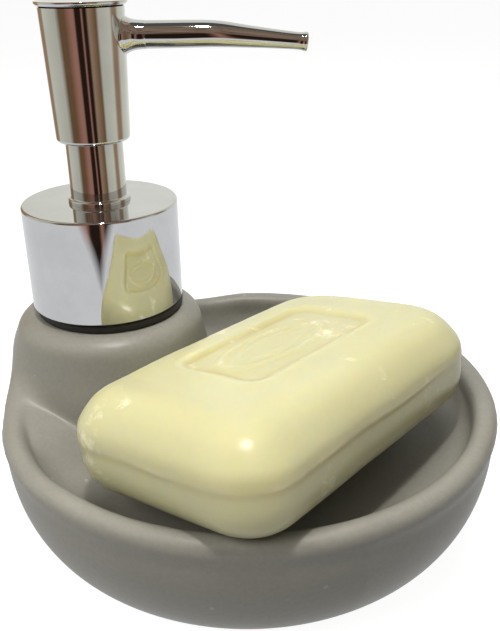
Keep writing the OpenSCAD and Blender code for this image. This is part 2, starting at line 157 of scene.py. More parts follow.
def stoneware():
    # Matte taupe glaze on thrown stoneware: soft broad sheen, faint cloudy tone, a few pale flecks
    mat, tree, bsdf, place = new_material("matte_glazed_stoneware", Roughness=0.4, IOR=1.5)
    cloud = add(tree, "ShaderNodeTexNoise", Vector=place, Scale=per_mm(26), Detail=3.0, Roughness=0.5)
    tone = add(tree, "ShaderNodeValToRGB", stops=[(0.3, "#84827a"), (0.7, "#8d8b82")],
               Fac=cloud.outputs["Fac"])
    # Grit about 1 mm across, as coarse as it needs to be to show
    fine = add(tree, "ShaderNodeTexNoise", Vector=place, Scale=per_mm(1.1), Detail=4.0, Roughness=0.65)
    grit = add(tree, "ShaderNodeValToRGB", stops=[(0.3, "#d6d4d0"), (0.7, "#ffffff")],
               Fac=fine.outputs["Fac"])
    grain = add(tree, "ShaderNodeMix", {"data_type": "RGBA", "blend_type": "MULTIPLY"}, Factor=0.35,
                A=tone.outputs["Color"], B=grit.outputs["Color"])
    # Flecks about 1 mm across in cells of 7.5 mm, drawn a little coarser than real ones so that they show
    cells = add(tree, "ShaderNodeTexVoronoi", Vector=place, Scale=per_mm(7.5), Randomness=1.0)
    spot = add(tree, "ShaderNodeMath", {"operation": "LESS_THAN"}, n0=cells.outputs["Distance"], n1=0.07)
    pick = add(tree, "ShaderNodeSeparateColor", Color=cells.outputs["Color"])
    some = add(tree, "ShaderNodeMath", {"operation": "GREATER_THAN"}, n0=pick.outputs["Red"], n1=0.72)
    fleck = add(tree, "ShaderNodeMath", {"operation": "MULTIPLY"}, n0=spot.outputs["Value"],
                n1=some.outputs["Value"])
    amount = add(tree, "ShaderNodeMath", {"operation": "MULTIPLY"}, n0=fleck.outputs["Value"], n1=0.45)
    look = add(tree, "ShaderNodeMix", {"data_type": "RGBA"}, Factor=amount.outputs["Value"],
               A=grain.outputs["Result"], B=colour("#b2afa5"))
    tree.links.new(look.outputs["Result"], bsdf.inputs["Base Color"])
    sheen = add(tree, "ShaderNodeMapRange", Value=cloud.outputs["Fac"], From_Min=0.3, From_Max=0.7,
                To_Min=0.36, To_Max=0.44)
    tree.links.new(sheen.outputs["Result"], bsdf.inputs["Roughness"])
    bump = add(tree, "ShaderNodeBump", Strength=0.12, Distance=0.00012, Height=fine.outputs["Fac"])
    tree.links.new(bump.outputs["Normal"], bsdf.inputs["Normal"])
    return mat


def chrome():
    # Bright chromium plate on moulded ABS: a clear mirror with faint wiping haze
    mat, tree, bsdf, place = new_material("chromium_plate", Metallic=1.0, Roughness=0.04)
    haze = add(tree, "ShaderNodeTexNoise", Vector=place, Scale=per_mm(9), Detail=5.0, Roughness=0.6)
    tone = add(tree, "ShaderNodeValToRGB", stops=[(0.35, "#c3c4c5"), (0.65, "#cacbcc")],
               Fac=haze.outputs["Fac"])
    tree.links.new(tone.outputs["Color"], bsdf.inputs["Base Color"])
    rough = add(tree, "ShaderNodeMapRange", Value=haze.outputs["Fac"], From_Min=0.35, From_Max=0.75,
                To_Min=0.02, To_Max=0.06)
    tree.links.new(rough.outputs["Result"], bsdf.inputs["Roughness"])
    # The moulding under the plate is wavy over 14 mm or so
    wave = add(tree, "ShaderNodeTexNoise", Vector=place, Scale=per_mm(14), Detail=1.0)
    bump = add(tree, "ShaderNodeBump", Strength=0.2, Distance=0.0002, Height=wave.outputs["Fac"])
    tree.links.new(bump.outputs["Normal"], bsdf.inputs["Normal"])
    return mat


def soap():
    # Milled toilet soap, used a few times: waxy and slightly see-through, with dried white film in places
    mat, tree, bsdf, place = new_material("milled_toilet_soap", Roughness=0.3, IOR=1.45,
                                          Subsurface_Weight=0.85, Subsurface_Scale=1.0,
                                          Subsurface_Radius=(0.012, 0.009, 0.0035))
    body = add(tree, "ShaderNodeTexNoise", Vector=place, Scale=per_mm(30), Detail=2.0)
    tone = add(tree, "ShaderNodeValToRGB", stops=[(0.3, "#bdba90"), (0.7, "#c4c199")],
               Fac=body.outputs["Fac"])
    # Painted shade makes the groove round the pressed panel, and a little the panel itself, darker and
    # yellower, and a painted highlight makes the crest of the mould line whiter, as the tint of the bar's
    # mesh says
    painted_shade_and_highlight = add(tree, "ShaderNodeAttribute", {"attribute_name": "tint"}).outputs["Fac"]
    painted_shade = add(tree, "ShaderNodeMapRange", Value=painted_shade_and_highlight, From_Min=0.1, From_Max=1.0, To_Min=0.0, To_Max=0.75)
    tone = add(tree, "ShaderNodeMix", {"data_type": "RGBA"}, Factor=painted_shade.outputs["Result"],
               A=tone.outputs["Color"], B=colour("#b8aa62"))
    # Painted highlight: the crest of the mould line is drawn whiter
    painted_highlight = add(tree, "ShaderNodeMapRange", Value=painted_shade_and_highlight, From_Min=-0.2, From_Max=-0.9, To_Min=0.0, To_Max=0.5)
    tone = add(tree, "ShaderNodeMix", {"data_type": "RGBA"}, Factor=painted_highlight.outputs["Result"],
               A=tone.outputs["Result"], B=colour("#e9e3c4"))
    # Film breaks up at 4.5 mm and finer, within patches about 24 mm apart
    film = add(tree, "ShaderNodeTexNoise", Vector=place, Scale=per_mm(4.5), Detail=6.0, Roughness=0.72)
    where = add(tree, "ShaderNodeTexNoise", Vector=place, Scale=per_mm(24), Detail=1.0)
    both = add(tree, "ShaderNodeMath", {"operation": "MULTIPLY"}, n0=film.outputs["Fac"],
               n1=where.outputs["Fac"])
    patch = add(tree, "ShaderNodeMapRange", Value=both.outputs["Value"], From_Min=0.33, From_Max=0.43,
                To_Min=0.0, To_Max=0.6)
    look = add(tree, "ShaderNodeMix", {"data_type": "RGBA"}, Factor=patch.outputs["Result"],
               A=tone.outputs["Result"], B=colour("#f2eed6"))
    tree.links.new(look.outputs["Result"], bsdf.inputs["Base Color"])
    rough = add(tree, "ShaderNodeMapRange", Value=patch.outputs["Result"], From_Min=0.0, From_Max=0.7,
                To_Min=0.29, To_Max=0.6)
    tree.links.new(rough.outputs["Result"], bsdf.inputs["Roughness"])
    bump = add(tree, "ShaderNodeBump", Strength=0.2, Distance=0.0003, Height=film.outputs["Fac"])
    tree.links.new(bump.outputs["Normal"], bsdf.inputs["Normal"])
    return mat


def rubber():
    # Black moulded rubber: dark, slightly dusty, no mirror
    mat, tree, bsdf, place = new_material("black_moulded_rubber", Roughness=0.6, IOR=1.52)
    dust = add(tree, "ShaderNodeTexNoise", Vector=place, Scale=per_mm(3), Detail=4.0)
    tone = add(tree, "ShaderNodeValToRGB", stops=[(0.35, "#0c0b0b"), (0.75, "#171514")],
               Fac=dust.outputs["Fac"])
    tree.links.new(tone.outputs["Color"], bsdf.inputs["Base Color"])
    return mat


def plastic():
    # Natural polypropylene, injection moulded: milky white with a faint flow pattern
    mat, tree, bsdf, place = new_material("natural_polypropylene", Roughness=0.42, IOR=1.49)
    flow = add(tree, "ShaderNodeTexNoise", Vector=place, Scale=per_mm(12), Detail=2.0)
    tone = add(tree, "ShaderNodeValToRGB", stops=[(0.3, "#dcdcd6"), (0.7, "#e8e8e3")],
               Fac=flow.outputs["Fac"])
    tree.links.new(tone.outputs["Color"], bsdf.inputs["Base Color"])
    return mat


def steel():
    # Drawn stainless steel wire and polished balls: bright grey with fine drawing marks
    mat, tree, bsdf, place = new_material("drawn_stainless_steel", Metallic=1.0, Roughness=0.25)
    draw = add(tree, "ShaderNodeTexNoise", Vector=place, Scale=per_mm(0.8), Detail=2.0)
    tone = add(tree, "ShaderNodeValToRGB", stops=[(0.3, "#b4b5b8"), (0.7, "#c6c7ca")],
               Fac=draw.outputs["Fac"])
    tree.links.new(tone.outputs["Color"], bsdf.inputs["Base Color"])
    return mat


FINISH = {"stoneware": stoneware(), "chrome": chrome(), "soap": soap(), "rubber": rubber(),
          "inner_plastic": plastic(), "steel": steel()}
for part in frame["record"]["subparts"]:
    nodes[part["node"]].data.materials.clear()
    nodes[part["node"]].data.materials.append(FINISH[part["material_slot"]])


# Mesh helpers
SHARP_ANGLE = 0.6
WELD = 0.001


def piece(bm, name, body, slot, *stands_for):
    """A finished bmesh in millimetres becomes a smooth piece that rides on a body"""
    bmesh.ops.transform(bm, matrix=Matrix.Scale(MM, 4), verts=bm.verts)
    mesh = bpy.data.meshes.new(name)
    bm.to_mesh(mesh)
    bm.free()
    made = bpy.data.objects.new(name, mesh)
    bpy.context.scene.collection.objects.link(made)
    mesh.materials.append(FINISH[slot])
    mesh.polygons.foreach_set("use_smooth", [True] * len(mesh.polygons))
    mesh.set_sharp_from_angle(angle=SHARP_ANGLE)
    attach(made, body)
    if stands_for:
        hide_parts(*stands_for)
    return made


def turned(profile, rounds=(), steps=128, closed=True, at=PUMP):
    """A profile of (radius, height) turned about an upright axis; rounds gives (corner, radius, segments)"""
    bm = bmesh.new()
    verts = [bm.verts.new((r, 0, z)) for r, z in profile]
    for a, b in zip(verts, verts[1:]):
        bm.edges.new((a, b))
    if closed:
        bm.edges.new((verts[-1], verts[0]))
    for corner, radius, segments in rounds:
        bmesh.ops.bevel(bm, geom=[verts[corner]], offset=radius, offset_type="OFFSET", segments=segments,
                        profile=0.5, affect="VERTICES", material=-1)
    bmesh.ops.spin(bm, geom=bm.verts[:] + bm.edges[:], cent=(0, 0, 0), axis=(0, 0, 1),
                   angle=math.tau, steps=steps, use_merge=True)
    bmesh.ops.remove_doubles(bm, verts=bm.verts, dist=WELD)
    bmesh.ops.recalc_face_normals(bm, faces=bm.faces)
    bmesh.ops.translate(bm, vec=at, verts=bm.verts)
    return bm


def flat_shading_kept(made):
    """Large faces keep their own normals, so a small rounded edge doesn't bend the reflections beside it"""
    normals = made.modifiers.new("normals", "WEIGHTED_NORMAL")
    normals.keep_sharp = True
    normals.weight = 100


def subdivided(made, levels):
    """Rounds a piece off between its edges"""
    soft = made.modifiers.new("soft", "SUBSURF")
    soft.levels = soft.render_levels = levels


def smoothed(made, iterations, group=""):
    """Smooths a loose object, or only a vertex group of it"""
    even = made.modifiers.new("even", "SMOOTH")
    even.factor, even.iterations, even.vertex_group = 0.5, iterations, group


def remeshed(made, voxel):
    """Gives a loose object an even skin of voxels of a size in millimetres"""
    skin = made.modifiers.new("voxel", "REMESH")
    skin.mode, skin.voxel_size = "VOXEL", voxel


def finish_mesh(made):
    """Applies the modifiers of a loose object"""
    shape = bpy.data.meshes.new_from_object(made.evaluated_get(bpy.context.evaluated_depsgraph_get()))
    made.modifiers.clear()
    made.data = shape


def loose_object(bm, name):
    """An object for modifiers to work on, still in millimetres, which is no piece yet"""
    mesh = bpy.data.meshes.new(name)
    bm.to_mesh(mesh)
    bm.free()
    made = bpy.data.objects.new(name, mesh)
    bpy.context.scene.collection.objects.link(made)
    return made


def shape_of(made):
    """The bmesh of a loose object, which goes"""
    bm = bmesh.new()
    bm.from_mesh(made.data)
    bpy.data.objects.remove(made)
    return bm


def combined(made, operation, tool):
    """Leaves of a loose object what a boolean with another one leaves. The other one goes"""
    cut = made.modifiers.new("cut", "BOOLEAN")
    cut.operation, cut.object, cut.solver = operation, tool, "EXACT"
    finish_mesh(made)
    bpy.data.objects.remove(tool)


def arc(r, z, radius, start, end, steps=10):
    """Points of a round in a profile, from one angle in degrees to another"""
    angles = [math.radians(start + (end - start) * i / steps) for i in range(steps + 1)]
    return [(r + radius * math.cos(a), z + radius * math.sin(a)) for a in angles]


def quarter(steps, first=0):
    """Even angles over a quarter turn"""
    return [math.pi / 2 * i / steps for i in range(first, steps + 1)]


def rounded_rect(x, y, half_x, half_y, r):
    """Signed distance to a rounded rectangle, negative inside"""
    qx, qy = abs(x) - half_x + r, abs(y) - half_y + r
    return math.hypot(max(qx, 0), max(qy, 0)) + min(max(qx, qy), 0) - r


def soft_step(x, a, b):
    """0 before a and 1 after b, with an even change between"""
    t = max(0.0, min(1.0, (x - a) / (b - a)))
    return t * t * (3 - 2 * t)


# Stoneware body
LIP_OVERHANG = 0.7
WALL_R, WALL_TOP = RIM_R - LIP_OVERHANG, RIM_Z - 2 * LIP_R
DISH_R, DISH_TOP = RIM_R - 2 * LIP_R, RIM_Z - LIP_R
WALL_CURVE, DISH_CURVE = 0.92, 0.72
MOUND_R, CROWN_R, CROWN_ROUND = 27.1, 18.7, 6
CLAY_VOXEL = 0.9
MIDDLE = Vector((0, 0, 0))


def wall(shift=0):
    """The outer wall, from the foot to under the lip"""
    return [(FOOT_R + (WALL_R - FOOT_R) * math.sin(a) ** WALL_CURVE + shift,
             WALL_TOP * (1 - math.cos(a) ** WALL_CURVE)) for a in quarter(24)]


def dish():
    """The hollow of the dish, from the lip to the middle of the floor"""
    return [(DISH_R * max(math.cos(a), 0) ** DISH_CURVE,
             DISH_TOP - (DISH_TOP - FLOOR_Z) * math.sin(a) ** DISH_CURVE) for a in quarter(26, first=1)]


def bowl():
    """The round dish with its rolled lip"""
    lip = arc(RIM_R - LIP_R, RIM_Z - LIP_R, LIP_R, -30, 180, 16)
    return turned([(0, 0)] + wall() + lip + dish(), steps=180, closed=False, at=MIDDLE)


def mound():
    """The mound that carries the pump, down to just above the foot"""
    foot, thinnest, waist = 1.5, 3, 2
    side = [(max(r, thinnest), max(z, foot)) for r, z in wall(MOUND_R - WALL_R)]
    crown = arc(CROWN_R, NECK_Z - CROWN_ROUND, CROWN_ROUND, 25, 90)
    return turned([(0, foot)] + side + [(MOUND_R, RIM_Z), (MOUND_R - waist, (RIM_Z + NECK_Z) / 2)] + crown
                  + [(0, NECK_Z)], steps=120, closed=False)


def sweep():
    """The sweep from the mound down to the dish floor, wider away from the dish and kept inside the rim"""
    reach, under, over, outward = 44, 4, 0.5, 6
    curve = [(reach - (reach - MOUND_R) * math.sin(a), RIM_Z + over - (RIM_Z - FLOOR_Z + over) * math.cos(a))
             for a in quarter(10)]
    skirt = turned([(0, FLOOR_Z - under), (reach, FLOOR_Z - under)] + curve + [(0, RIM_Z + over)],
                   steps=120, closed=False, at=PUMP * (1 + outward / PUMP.length))
    inset, foot, lid = 2, 5, 1
    room = turned([(0, foot)] + [(r, z) for r, z in wall(-inset) if z > foot]
                  + arc(RIM_R - LIP_R, RIM_Z - LIP_R, LIP_R, 0, 90) + [(0, RIM_Z + lid)],
                  steps=180, closed=False, at=MIDDLE)
    room_object = loose_object(room, "room")
    skirt_object = loose_object(skirt, "skirt")
    combined(skirt_object, "INTERSECT", room_object)
    return shape_of(skirt_object)


def sponge_seam(body, sides):
    """Only the seam between bowl and mound is smoothed, as a potter's sponge leaves it"""
    full, reach = 1.35, 9
    seam = body.vertex_groups.new(name="seam")
    for v in body.data.vertices:
        far = max(side.find_nearest(v.co)[3] for side in sides)
        seam.add([v.index], max(0.0, min(1.0, full - far / reach)), "REPLACE")
    smoothed(body, 110, "seam")
    smoothed(body, 4)
    finish_mesh(body)


def draw_up_lip(body):
    """Beside the mound the lip climbs into its flank, and the hollow between them is filled and sponged"""
    # Degrees round the dish: where the lip climbs most, and how far to each side of it things end
    bearing, climb_end, climb_fade = 160, 38, 26
    fill_end, fill_fade, soft_end, soft_fade = 56, 20, 70, 14
    steeper_from, steeper_to = 28, 50
    # The fill falls inwards from the lip's line at a slope, and faster past a bend
    height, lip_line, bend_line, bend, roundness = 6, 60, 50, 0.02, 2
    flattest, steeper = 0.12, 0.28
    # Ranges over which each change comes in or goes, in millimetres from the middle and from the foot, and
    # in how far a face looks up
    rise_in, rise_from, rise_to = (46, 56), (22, 34), (38, 52)
    fill_in, fill_to, fill_up = (32, 50), (34, 46), (0, 0.4)
    soft_in, soft_to, soft_up = (24, 34), (43, 49), (-0.1, 0.5)
    soft = body.vertex_groups.new(name="soft")
    for v, up in zip(body.data.vertices, [v.normal.z for v in body.data.vertices]):
        x, y, z = v.co
        r = math.hypot(x, y)
        side = abs((math.degrees(math.atan2(y, x)) - bearing + 180) % 360 - 180)
        climb = height * soft_step(climb_end - side, 0, climb_fade)
        rise = climb * soft_step(r, *rise_in) * soft_step(z, *rise_from) * (1 - soft_step(z, *rise_to))
        slope = flattest + steeper * soft_step(side, steeper_from, steeper_to)
        short = RIM_Z + climb - slope * (lip_line - r) - bend * max(0, bend_line - r) ** 2 - z - rise
        fill = (math.hypot(short, roundness) + short) / 2 * soft_step(fill_end - side, 0, fill_fade)
        fill = fill * soft_step(up, *fill_up)
        v.co.z = z + rise + fill * soft_step(r, *fill_in) * (1 - soft_step(z, *fill_to))
        near = soft_step(soft_end - side, 0, soft_fade) * soft_step(r, *soft_in)
        near = near * (1 - soft_step(z, *soft_to))
        soft.add([v.index], near * soft_step(up, *soft_up), "REPLACE")
    smoothed(body, 90, "soft")
    smoothed(body, 6)
    finish_mesh(body)


def bore_neck(body):
    """The bore that takes the pump, cut through the top"""
    radius, low, high = 14.5, 8, 68
    bore = bmesh.new()
    bmesh.ops.create_cone(bore, cap_ends=True, segments=96, radius1=radius, radius2=radius, depth=high - low,
                          matrix=Matrix.Translation(PUMP + Vector((0, 0, (low + high) / 2))))
    combined(body, "DIFFERENCE", loose_object(bore, "bore"))


def stoneware_body():
    """One body of clay: bowl, mound and sweep are merged, sponged and bored"""
    parts = [bowl(), mound()]
    sides = [BVHTree.FromBMesh(bm) for bm in parts]
    whole = bmesh.new()
    for bm in parts + [sweep()]:
        mesh = bpy.data.meshes.new("scratch")
        bm.to_mesh(mesh)
        bm.free()
        whole.from_mesh(mesh)
        bpy.data.meshes.remove(mesh)
    body = loose_object(whole, "clay")
    remeshed(body, CLAY_VOXEL)
    finish_mesh(body)
    sponge_seam(body, sides)
    draw_up_lip(body)
    bore_neck(body)
    piece(shape_of(body), "stoneware_body", "base", "stoneware", "vessel")


stoneware_body()


# Rubber ring
def rubber_ring():
    """The ring sits a little towards the dish, so it shows as a crescent under the collar"""
    inner, outer, thick = 15.6, 19.0, 2.2
    towards_dish = Vector((0.5, -0.15, 0))
    profile = [(inner, NECK_Z), (outer, NECK_Z), (outer, NECK_Z + thick), (inner, NECK_Z + thick)]
    bm = turned(profile, rounds=[(2, 0.5, 5), (1, 0.9, 6)], at=PUMP + towards_dish)
    piece(bm, "rubber_ring", "base", "rubber", "neck_seal")


rubber_ring()


# Chromed pump
def chromed_collar():
    """The screw collar, a thin cup turned over the neck"""
    skin, hole = 0.8, 7.75
    profile = [(COLLAR_R - skin, COLLAR_Z), (COLLAR_R, COLLAR_Z), (COLLAR_R, COLLAR_TOP), (hole, COLLAR_TOP),
               (hole, COLLAR_TOP - skin), (COLLAR_R - skin, COLLAR_TOP - skin)]
    bm = turned(profile, rounds=[(2, 0.6, 6), (1, 0.3, 3), (0, 0.2, 2)])
    flat_shading_kept(piece(bm, "chromed_collar", "collar", "chrome", "collar_shell"))


def chromed_sleeve():
    """The neck sleeve, with a low boss on the collar and a flange under it"""
    bore, tube, boss, flange = 6.25, 6.95, 7.7, 11
    foot, under, over, boss_top = 79.85, 80.6, 81.4, 83.4
    profile = [(bore, foot), (tube, foot), (tube, under), (flange, under), (flange, over), (boss, over),
               (boss, boss_top), (tube, boss_top), (tube, SLEEVE_TOP), (bore, SLEEVE_TOP)]
    bm = turned(profile, rounds=[(6, 0.45, 5), (7, 0.3, 4), (8, 0.2, 3)])
    flat_shading_kept(piece(bm, "chromed_neck_sleeve", "collar", "chrome", "neck_sleeve"))


def chromed_head():
    """The tapered head, open below, with a step inside where its core ends"""
    bore, bottom_r, top_r, inner_top, step_z, step_r = 7.5, 8.9, 9.9, 8.9, 112.2, 7.85
    profile = [(bore, HEAD_Z), (bottom_r, HEAD_Z), (top_r, HEAD_TOP), (inner_top, HEAD_TOP), (step_r, step_z),
               (bore, step_z)]
    bm = turned(profile, rounds=[(1, 0.9, 8), (0, 0.3, 3)])
    flat_shading_kept(piece(bm, "chromed_head", "head", "chrome", "head_shell"))


def chromed_cap():
    """The flared cap, dished on top; its points are radius and height over the head"""
    points = [(0, 0), (9.5, 0), (10.5, 0.55), (10.7, 1.0), (10.6, 1.35), (10.2, 1.3), (8.6, 0.95), (5, 0.8),
              (0, 0.78)]
    bm = turned([(r, HEAD_TOP + up) for r, up in points],
                rounds=[(4, 0.16, 4), (3, 0.2, 3), (2, 0.4, 4), (6, 1.2, 5)], closed=False)
    flat_shading_kept(piece(bm, "chromed_cap", "head", "chrome", "head_cap"))


def chromed_spout():
    """A tube along the axis of the spout: level, then drooping and tapering to a rolled tip"""
    # Distance from the pump's axis, height above or below the spout's root, and radius
    stations = [(4.2, 0, 3.15), (10, 0, 3.15), (16, 0, 3.15), (22, 0, 3.12), (27, 0.02, 3.08),
                (30.5, -0.05, 3.0), (33.5, -0.3, 2.85), (37, -0.68, 2.58), (42, -1.15, 2.28),
                (47, -1.65, 2.04), (50.6, -2.0, 1.92), (51.1, -2.05, 2.2), (52, -2.13, 2.2)]
    skin = 0.45
    bm = bmesh.new()
    ring = bmesh.ops.create_circle(bm, cap_ends=False, segments=40, radius=1)["verts"]
    edges = bm.edges[:]
    last = Matrix.Identity(4)
    for i, (x, dz, r) in enumerate(stations):
        ahead = stations[min(i + 1, len(stations) - 1)]
        behind = stations[max(i - 1, 0)]
        tilt = math.atan2(behind[1] - ahead[1], ahead[0] - behind[0])
        place = (Matrix.Translation(PUMP + Vector((x, 0, SPOUT_Z + dz))) @ Matrix.Rotation(tilt, 4, "Y")
                 @ Matrix.Rotation(math.pi / 2, 4, "Y") @ Matrix.Scale(r, 4))
        if i:
            grown = bmesh.ops.extrude_edge_only(bm, edges=edges)["geom"]
            ring = [g for g in grown if isinstance(g, bmesh.types.BMVert)]
            edges = [g for g in grown if isinstance(g, bmesh.types.BMEdge)
                     and all(v in set(ring) for v in g.verts)]
        bmesh.ops.transform(bm, matrix=place @ last.inverted(), verts=ring)
        last = place
    bmesh.ops.recalc_face_normals(bm, faces=bm.faces)
    made = piece(bm, "chromed_spout", "head", "chrome", "spout_tube")
    thick = made.modifiers.new("wall", "SOLIDIFY")
    thick.thickness, thick.offset = skin * MM, -1
    subdivided(made, 2)


def spout_fillet():
    """The moulded fillet where the spout leaves the head; its points are distance from the axis and radius"""
    points = [(8.2, 4.5), (9.4, 4.45), (10.2, 3.95), (11.2, 3.5), (12.6, 3.27), (14.4, 3.2), (14.6, 3.1)]
    bm = bmesh.new()
    verts = [bm.verts.new((x, 0, r)) for x, r in points]
    for a, b in zip(verts, verts[1:]):
        bm.edges.new((a, b))
    bmesh.ops.spin(bm, geom=bm.verts[:] + bm.edges[:], cent=(0, 0, 0), axis=(1, 0, 0), angle=math.tau,
                   steps=64, use_merge=True)
    bmesh.ops.recalc_face_normals(bm, faces=bm.faces)
    bmesh.ops.translate(bm, vec=PUMP + Vector((0, 0, SPOUT_Z)), verts=bm.verts)
    subdivided(piece(bm, "spout_fillet", "head", "chrome"), 1)


chromed_collar()
chromed_sleeve()
chromed_head()
chromed_cap()
chromed_spout()
spout_fillet()


# Return spring
def coiled_spring():
    """The wire coil under the piston, on a mesh of its own. The real coil closes up as the head is pressed"""
    low, high = (Vector(corner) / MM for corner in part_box("return_spring"))
    wire, turns, steps_a_turn, press = 0.5, 9, 28, 11
    outer = (high.x - low.x) / 2
    length = high.z - low.z - 2 * wire
    bm = bmesh.new()
    start = Matrix.Translation(PUMP + Vector((outer - wire, 0, low.z + wire)))
    ring = bmesh.ops.create_circle(bm, cap_ends=False, segments=12, radius=wire,
                                   matrix=start @ Matrix.Rotation(math.pi / 2, 4, "X"))["verts"]
    steps = turns * steps_a_turn
    bmesh.ops.spin(bm, geom=ring + bm.edges[:], cent=PUMP, axis=(0, 0, 1), angle=turns * math.tau,
                   steps=steps, dvec=(0, 0, length / steps), use_merge=False)
    bmesh.ops.holes_fill(bm, edges=[e for e in bm.edges if e.is_boundary], sides=12)
    bmesh.ops.recalc_face_normals(bm, faces=bm.faces)
    made = piece(bm, "coiled_spring", "pump", "steel", "return_spring")
    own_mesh(made)


coiled_spring()


# Soap
SOAP_LENGTH, SOAP_WIDTH, SOAP_HEIGHT = 92.2, 57.6, 24.5
FAR_ROUND, NEAR_ROUND, TOP_ROUND, BOTTOM_ROUND = 17, 12.6, 10.5, 9
SOAP_VOXEL = 0.55
# Half length, half width and corner of the worn outline, and of the pressed panel
SOAP_EDGE, PANEL_EDGE = (45.75, 28.75, 13), (23, 11.8, 4)
SOAP_BEARING, SOAP_SLOPE, SOAP_LEAN = 50, 2.5, -8.5
SOAP_TURN = (Matrix.Translation(SOAP) @ Matrix.Rotation(math.radians(SOAP_BEARING), 4, "Z")
             @ Matrix.Rotation(math.radians(SOAP_SLOPE), 4, "Y")
             @ Matrix.Rotation(math.radians(SOAP_LEAN), 4, "X"))


def bump_at(distance, width):
    """1 where the distance is zero, fading over a width"""
    return math.exp(-(distance / width) ** 2)


def waver(x, y, z, rate):
    """Slow uneven change over the bar, between -1 and 1"""
    return noise.noise(Vector((x, y, z)) * rate)


def oval_line(x, y, half_x, half_y, rate, width):
    """A line on an oval in the pressed panel. The share by which a point is off it, times the rate, is
    about millimetres"""
    return bump_at((math.hypot((x + 1) / half_x, (y - 2) / half_y) - 1) * rate, width)


def pressed_face(x, y, z):
    """The upper face is crowned, with a worn pressed panel and two oval lines in it. With the new height
    comes a tint of painted shade, about 1 in the groove round the panel and a quarter over the pressed panel"""
    half_x, half_y, _ = SOAP_EDGE
    fall_across, fall_along, swell = 1.3, 0.9, 0.2
    panel_depth, groove_depth, outer_line, inner_line = 0.7, 0.2, 0.42, 0.24
    z -= (fall_across * (abs(y) / half_y) ** 2.4 + fall_along * (abs(x) / half_x) ** 3) * soft_step(z, 2, 9)
    d = rounded_rect(x - 1, y - 1.5, *PANEL_EDGE)
    pressed = 1 - soft_step(d, -1.8, 1.2)
    groove = bump_at(d + 0.9, 1.1) * (0.6 + 0.6 * waver(x, y, 1, 0.06))
    z -= panel_depth * pressed + groove_depth * groove - swell * bump_at(d - 2.0, 1.3)
    z += outer_line * oval_line(x, y, 17, 7, 9, 0.8) + inner_line * oval_line(x, y, 11.5, 3.9, 6, 0.7)
    # Painted shade: the tint darkens the groove and, a little, the pressed panel
    return z, groove + 0.25 * pressed


def parted_edge(x, y, z):
    """The halves of the mould meet in a worn line, and the lower half is drawn in a little under it. With the
    new place comes a tint, down to less than 0 where a painted highlight whitens the line's crest"""
    reach, half, bead_height, drawn_in = 5, 0.5, 0.14, 0.2
    edge = rounded_rect(x, y, *SOAP_EDGE)
    if edge <= -reach:
        return x, y, 0
    out = Vector((rounded_rect(x + half, y, *SOAP_EDGE) - rounded_rect(x - half, y, *SOAP_EDGE),
                  rounded_rect(x, y + half, *SOAP_EDGE) - rounded_rect(x, y - half, *SOAP_EDGE)))
    line = 1.2 + 0.5 * waver(x, y, 3, 0.05) + 0.25 * waver(x, y, 9, 0.35)
    crisp = 0.5 + 0.9 * waver(x, y, 5, 0.09)
    bead = bead_height * max(crisp, 0) * bump_at(z - line, 0.55)
    move = (bead - drawn_in * soft_step(line - z, -0.4, 1.6)) * soft_step(edge, -reach, -1)
    # The third value is a painted highlight along the crest of the line
    return x + out.x * move, y + out.y * move, -0.8 * bead / bead_height


def pressed_soap(x, y, z):
    """Where a point of the plain bar goes, and its tint of painted shade and painted highlight"""
    tint = 0
    if z > 2:
        z, tint = pressed_face(x, y, z)
    x, y, painted_highlight = parted_edge(x, y, z)
    worn = 0.22 * waver(x, y, z, 0.07) + 0.05 * waver(x, y, z, 0.4)
    return (x, y, z + worn), tint + painted_highlight


def soap_bar():
    """A bar worn rounder at its far end and on top, which lies tilted in the dish"""
    bm = bmesh.new()
    bmesh.ops.create_cube(bm, size=1, matrix=Matrix.Diagonal((SOAP_LENGTH, SOAP_WIDTH, SOAP_HEIGHT, 1)))
    for far, offset in ((True, FAR_ROUND), (False, NEAR_ROUND)):
        upright = [e for e in bm.edges if abs(e.verts[0].co.z - e.verts[1].co.z) > 1
                   and all((v.co.x > 0) is far and abs(v.co.x) > SOAP_LENGTH / 2 - 0.1 for v in e.verts)
                   and all(abs(v.co.y) > SOAP_WIDTH / 2 - 0.1 for v in e.verts)]
        bmesh.ops.bevel(bm, geom=upright, offset=offset, offset_type="OFFSET", segments=10, profile=0.5,
                        affect="EDGES", material=-1)
    for upper, offset in ((True, TOP_ROUND), (False, BOTTOM_ROUND)):
        level = [e for e in bm.edges
                 if all((v.co.z > 0) is upper and abs(v.co.z) > SOAP_HEIGHT / 2 - 0.1 for v in e.verts)]
        bmesh.ops.bevel(bm, geom=level, offset=offset, offset_type="OFFSET", segments=10, profile=0.5,
                        affect="EDGES", material=-1, loop_slide=False)
    plain = loose_object(bm, "plain_soap")
    remeshed(plain, SOAP_VOXEL)
    smoothed(plain, 12)
    finish_mesh(plain)
    bar = shape_of(plain)
    tint = bar.verts.layers.float.new("tint")
    for v in bar.verts:
        v.co, v[tint] = pressed_soap(*v.co)
    bmesh.ops.transform(bar, matrix=SOAP_TURN, verts=bar.verts)
    piece(bar, "toilet_soap", "soap", "soap", "soap_bar")


soap_bar()


# Studio, in metres
TABLE_HALF, TABLE_PLACE = 2.5, (0, 1.4, -0.0002)
CARD_R, CARD_HOLE, CARD_HEIGHT, CARD_LIFT = 0.29, 0.15, 1.0, 0.0005
PUMP_X, PUMP_Y = PUMP.x * MM, PUMP.y * MM
LIT_PLACE = (0, 0, 0.03)


def staged(bm, name, mat):
    """An object of the set, which is no part of the caddy"""
    mesh = bpy.data.meshes.new(name)
    bm.to_mesh(mesh)
    bm.free()
    made = bpy.data.objects.new(name, mesh)
    bpy.context.scene.collection.objects.link(made)
    mesh.materials.append(mat)
    return made


